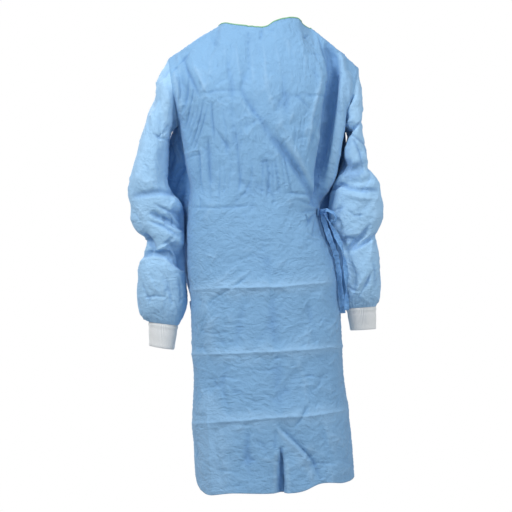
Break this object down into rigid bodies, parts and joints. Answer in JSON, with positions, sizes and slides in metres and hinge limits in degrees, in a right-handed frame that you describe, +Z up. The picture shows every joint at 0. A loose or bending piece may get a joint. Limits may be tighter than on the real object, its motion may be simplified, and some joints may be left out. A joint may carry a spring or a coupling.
{
  "type": "surgical gown",
  "caption": "Long-sleeved wrap-back surgical gown of light blue nonwoven with rib-knit cuffs, bound neck and side-tied belt, hollow as if worn.",
  "frame": {"origin": "base of the wearer's neck, midway between the shoulder seams, where the shoulders hold the gown up", "axes": "+Z up along the wearer, -Y out of the gown's front, +X towards the viewer's right of the front"},
  "size_m": [0.6431, 0.296, 1.1928],
  "materials": {
    "cloth": "matt nonwoven",
    "sleeve_cloth": "matt nonwoven",
    "back_cloth": "matt nonwoven",
    "knit": "rib knit",
    "binding": "matt tape",
    "belt": "matt nonwoven"
  },
  "bodies": {
    "root": {"front": "cloth", "back_outer": "back_cloth", "back_inner": "back_cloth", "sleeve_left": "sleeve_cloth", "sleeve_right": "sleeve_cloth", "cuff_left": "knit", "cuff_right": "knit", "neck_binding": "binding", "neck_tab": "back_cloth", "belt_back": "belt", "belt_knot": "belt", "belt_loop": "belt", "belt_end_long": "belt", "belt_end_short": "belt"}
  },
  "joints": []
}
